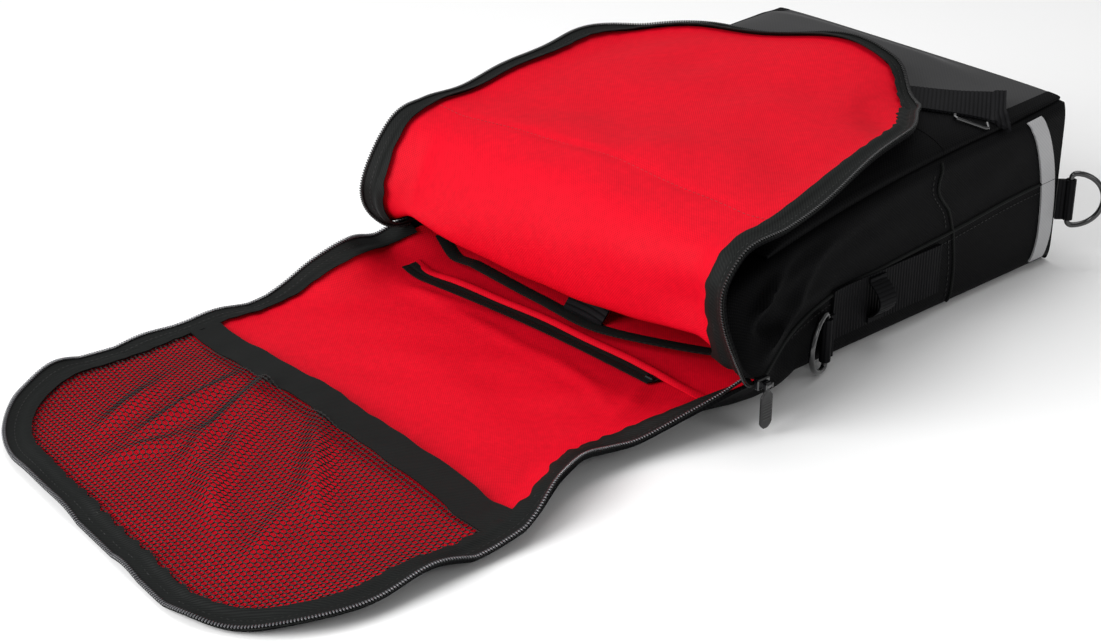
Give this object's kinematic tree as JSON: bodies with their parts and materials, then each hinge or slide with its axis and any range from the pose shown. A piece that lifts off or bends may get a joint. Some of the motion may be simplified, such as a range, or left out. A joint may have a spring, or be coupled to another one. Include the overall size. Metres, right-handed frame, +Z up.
{
  "type": "cycling backpack",
  "caption": "Clamshell cycling backpack lying unzipped on its back panel, with both red-lined flaps open.",
  "frame": {"origin": "centre line of the back panel's underside, level with the two zip sliders at the mouth", "axes": "+Y to the closed base, +X to the side nearer the picture's viewer, +Z up from the floor"},
  "size_m": [0.4037, 0.8351, 0.1801],
  "materials": {
    "black_nylon": "matt woven nylon",
    "red_polyester": "matt woven polyester",
    "black_tape": "matt woven tape",
    "zip_coil": "satin nylon coil",
    "black_mesh": "knitted net",
    "black_webbing": "ribbed webbing",
    "grey_tarpaulin": "coated cloth, satin",
    "reflective_tape": "retroreflective, satin",
    "black_enamel": "gloss enamel",
    "steel": "polished steel"
  },
  "bodies": {
    "backpack": {"back_shell": "black_nylon", "front_shell": "black_nylon", "back_lining": "red_polyester", "front_lining": "red_polyester", "base_panel": "black_nylon", "back_zip_tape": "black_tape", "front_zip_tape": "black_tape", "back_zip_chain": "zip_coil", "front_zip_chain": "zip_coil", "zip_slider_near": "black_enamel", "zip_slider_far": "black_enamel", "mesh_pocket": "black_mesh", "mesh_band": "black_tape", "pocket_zip": "black_tape", "pocket_zip_slider": "black_enamel", "sleeve": "red_polyester", "sleeve_binding": "black_tape", "sleeve_strap": "black_webbing", "front_pocket": "black_nylon", "tarpaulin_panel": "grey_tarpaulin", "front_strap": "black_webbing", "strap_hook": "steel", "side_webbing_near": "black_webbing", "side_webbing_far": "black_webbing", "light_loop_near": "black_webbing", "light_loop_far": "black_webbing", "reflective_strip_near": "reflective_tape", "reflective_strip_far": "reflective_tape", "ring_tab_mouth_near": "black_webbing", "ring_tab_mouth_far": "black_webbing", "ring_tab_base_near": "black_webbing", "ring_tab_base_far": "black_webbing"},
    "zip_pull_near": {"zip_pull_near": "black_enamel"},
    "zip_pull_far": {"zip_pull_far": "black_enamel"},
    "d_ring_mouth_near": {"d_ring_mouth_near": "black_enamel"},
    "d_ring_mouth_far": {"d_ring_mouth_far": "black_enamel"},
    "d_ring_base_near": {"d_ring_base_near": "black_enamel"},
    "d_ring_base_far": {"d_ring_base_far": "black_enamel"}
  },
  "joints": [
    {"name": "mouth_ring_near_hinge", "type": "hinge", "parent": "backpack", "child": "d_ring_mouth_near", "pos_m": [0.16259, 0.09573, 0.0255], "axis": [0, 0, 1], "range_deg": [0, 100]},
    {"name": "base_ring_near_hinge", "type": "hinge", "parent": "backpack", "child": "d_ring_base_near", "pos_m": [0.16191, 0.38361, 0.0545], "axis": [0, 0, 1], "range_deg": [-45, 45]},
    {"name": "zip_pull_near_hinge", "type": "hinge", "parent": "backpack", "child": "zip_pull_near", "pos_m": [0.19928, -0.006, 0.0392], "axis": [0, -1, 0], "range_deg": [0, 140]},
    {"name": "mouth_ring_far_hinge", "type": "hinge", "parent": "backpack", "child": "d_ring_mouth_far", "pos_m": [-0.16259, 0.09573, 0.0255], "axis": [0, 0, -1], "range_deg": [0, 100]},
    {"name": "base_ring_far_hinge", "type": "hinge", "parent": "backpack", "child": "d_ring_base_far", "pos_m": [-0.16191, 0.38361, 0.0545], "axis": [0, 0, -1], "range_deg": [-45, 45]},
    {"name": "zip_pull_far_hinge", "type": "hinge", "parent": "backpack", "child": "zip_pull_far", "pos_m": [-0.19928, -0.006, 0.0392], "axis": [0, 1, 0], "range_deg": [0, 140]}
  ]
}
